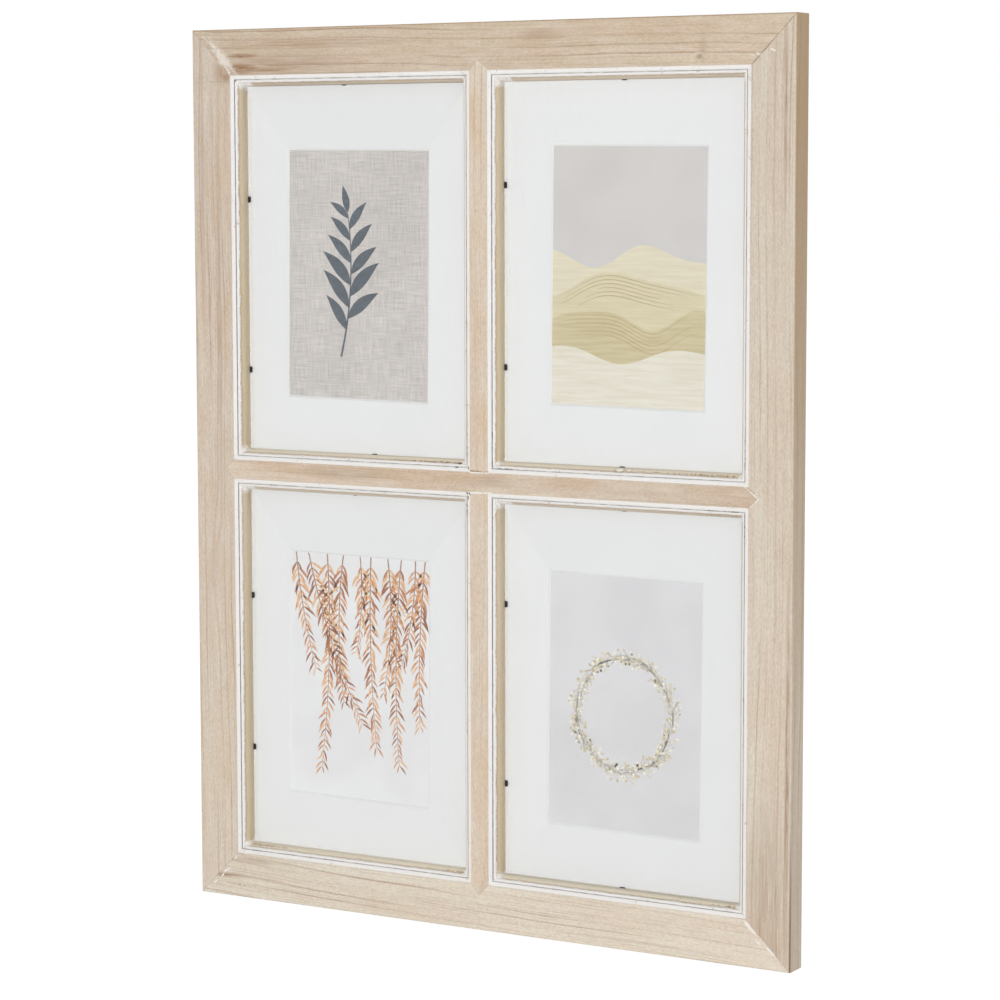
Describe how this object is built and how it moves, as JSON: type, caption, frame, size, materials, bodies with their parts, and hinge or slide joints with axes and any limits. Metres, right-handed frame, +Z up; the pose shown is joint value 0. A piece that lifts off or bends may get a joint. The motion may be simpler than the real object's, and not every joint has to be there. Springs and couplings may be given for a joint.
{
  "type": "collage photo frame",
  "caption": "Rectangular wooden collage photo frame with crossing muntins and stepped white mouldings, holding bevel-cut mats and prints behind clear panes, with wall hangers.",
  "frame": {"origin": "middle of the back plane, where the muntins cross and the frame meets the wall", "axes": "+Y out of the back, towards the wall; +Z up; +X to the right seen from the front"},
  "size_m": [0.41, 0.0204, 0.54],
  "materials": {
    "whitewashed_wood": "bare and lightly whitewashed softwood, its mouldings brushed chalky white",
    "clear_pane": "clear and polished",
    "mat_board": "matt white card, bevel-cut",
    "hardboard": "smooth brown fibre board",
    "black_steel": "black, satin",
    "bright_steel": "zinc-plated",
    "upper_left_print": null,
    "upper_right_print": null,
    "lower_left_print": null,
    "lower_right_print": null
  },
  "bodies": {
    "frame": {"left_stile": "whitewashed_wood", "right_stile": "whitewashed_wood", "top_rail": "whitewashed_wood", "bottom_rail": "whitewashed_wood", "vertical_muntin": "whitewashed_wood", "horizontal_muntin": "whitewashed_wood", "upper_left_stop_points": "black_steel", "upper_right_stop_points": "black_steel", "lower_left_stop_points": "black_steel", "lower_right_stop_points": "black_steel", "upper_left_flexible_points": "black_steel", "upper_right_flexible_points": "black_steel", "lower_left_flexible_points": "black_steel", "lower_right_flexible_points": "black_steel", "corner_v_nails": "bright_steel", "muntin_v_nails": "bright_steel", "left_hanger_strap": "bright_steel", "right_hanger_strap": "bright_steel", "hanger_screws": "bright_steel"},
    "upper_left_backing_board": {"upper_left_backing_board": "hardboard"},
    "upper_left_print": {"upper_left_print": "upper_left_print"},
    "upper_left_mat": {"upper_left_mat": "mat_board"},
    "upper_left_pane": {"upper_left_pane": "clear_pane"},
    "upper_right_backing_board": {"upper_right_backing_board": "hardboard"},
    "upper_right_print": {"upper_right_print": "upper_right_print"},
    "upper_right_mat": {"upper_right_mat": "mat_board"},
    "upper_right_pane": {"upper_right_pane": "clear_pane"},
    "lower_left_backing_board": {"lower_left_backing_board": "hardboard"},
    "lower_left_print": {"lower_left_print": "lower_left_print"},
    "lower_left_mat": {"lower_left_mat": "mat_board"},
    "lower_left_pane": {"lower_left_pane": "clear_pane"},
    "lower_right_backing_board": {"lower_right_backing_board": "hardboard"},
    "lower_right_print": {"lower_right_print": "lower_right_print"},
    "lower_right_mat": {"lower_right_mat": "mat_board"},
    "lower_right_pane": {"lower_right_pane": "clear_pane"},
    "left_hanger_ring": {"left_hanger_ring": "bright_steel"},
    "right_hanger_ring": {"right_hanger_ring": "bright_steel"}
  },
  "joints": [
    {"name": "upper_left_backing_board_slide", "type": "slide", "parent": "frame", "child": "upper_left_backing_board", "axis": [0, 1, 0], "range_m": [0, 0.04], "deforming": ["upper_left_flexible_points"]},
    {"name": "upper_left_print_slide", "type": "slide", "parent": "frame", "child": "upper_left_print", "axis": [0, 1, 0], "range_m": [0, 0.03]},
    {"name": "upper_left_mat_slide", "type": "slide", "parent": "frame", "child": "upper_left_mat", "axis": [0, 1, 0], "range_m": [0, 0.02]},
    {"name": "upper_left_pane_slide", "type": "slide", "parent": "frame", "child": "upper_left_pane", "axis": [0, 1, 0], "range_m": [0, 0.01]},
    {"name": "upper_right_backing_board_slide", "type": "slide", "parent": "frame", "child": "upper_right_backing_board", "axis": [0, 1, 0], "range_m": [0, 0.04], "deforming": ["upper_right_flexible_points"]},
    {"name": "upper_right_print_slide", "type": "slide", "parent": "frame", "child": "upper_right_print", "axis": [0, 1, 0], "range_m": [0, 0.03]},
    {"name": "upper_right_mat_slide", "type": "slide", "parent": "frame", "child": "upper_right_mat", "axis": [0, 1, 0], "range_m": [0, 0.02]},
    {"name": "upper_right_pane_slide", "type": "slide", "parent": "frame", "child": "upper_right_pane", "axis": [0, 1, 0], "range_m": [0, 0.01]},
    {"name": "lower_left_backing_board_slide", "type": "slide", "parent": "frame", "child": "lower_left_backing_board", "axis": [0, 1, 0], "range_m": [0, 0.04], "deforming": ["lower_left_flexible_points"]},
    {"name": "lower_left_print_slide", "type": "slide", "parent": "frame", "child": "lower_left_print", "axis": [0, 1, 0], "range_m": [0, 0.03]},
    {"name": "lower_left_mat_slide", "type": "slide", "parent": "frame", "child": "lower_left_mat", "axis": [0, 1, 0], "range_m": [0, 0.02]},
    {"name": "lower_left_pane_slide", "type": "slide", "parent": "frame", "child": "lower_left_pane", "axis": [0, 1, 0], "range_m": [0, 0.01]},
    {"name": "lower_right_backing_board_slide", "type": "slide", "parent": "frame", "child": "lower_right_backing_board", "axis": [0, 1, 0], "range_m": [0, 0.04], "deforming": ["lower_right_flexible_points"]},
    {"name": "lower_right_print_slide", "type": "slide", "parent": "frame", "child": "lower_right_print", "axis": [0, 1, 0], "range_m": [0, 0.03]},
    {"name": "lower_right_mat_slide", "type": "slide", "parent": "frame", "child": "lower_right_mat", "axis": [0, 1, 0], "range_m": [0, 0.02]},
    {"name": "lower_right_pane_slide", "type": "slide", "parent": "frame", "child": "lower_right_pane", "axis": [0, 1, 0], "range_m": [0, 0.01]},
    {"name": "left_hanger_ring_swing", "type": "hinge", "parent": "frame", "child": "left_hanger_ring", "pos_m": [-0.1876, 0.0022, 0.175], "axis": [1, 0, 0], "range_deg": [0, 180]},
    {"name": "right_hanger_ring_swing", "type": "hinge", "parent": "frame", "child": "right_hanger_ring", "pos_m": [0.1876, 0.0022, 0.175], "axis": [1, 0, 0], "range_deg": [0, 180]}
  ],
  "couplings": [
    {"joint": "upper_left_print_slide", "follows": "upper_left_backing_board_slide", "ratio": 0.75},
    {"joint": "upper_left_mat_slide", "follows": "upper_left_backing_board_slide", "ratio": 0.5},
    {"joint": "upper_left_pane_slide", "follows": "upper_left_backing_board_slide", "ratio": 0.25},
    {"joint": "upper_right_print_slide", "follows": "upper_right_backing_board_slide", "ratio": 0.75},
    {"joint": "upper_right_mat_slide", "follows": "upper_right_backing_board_slide", "ratio": 0.5},
    {"joint": "upper_right_pane_slide", "follows": "upper_right_backing_board_slide", "ratio": 0.25},
    {"joint": "lower_left_print_slide", "follows": "lower_left_backing_board_slide", "ratio": 0.75},
    {"joint": "lower_left_mat_slide", "follows": "lower_left_backing_board_slide", "ratio": 0.5},
    {"joint": "lower_left_pane_slide", "follows": "lower_left_backing_board_slide", "ratio": 0.25},
    {"joint": "lower_right_print_slide", "follows": "lower_right_backing_board_slide", "ratio": 0.75},
    {"joint": "lower_right_mat_slide", "follows": "lower_right_backing_board_slide", "ratio": 0.5},
    {"joint": "lower_right_pane_slide", "follows": "lower_right_backing_board_slide", "ratio": 0.25}
  ]
}
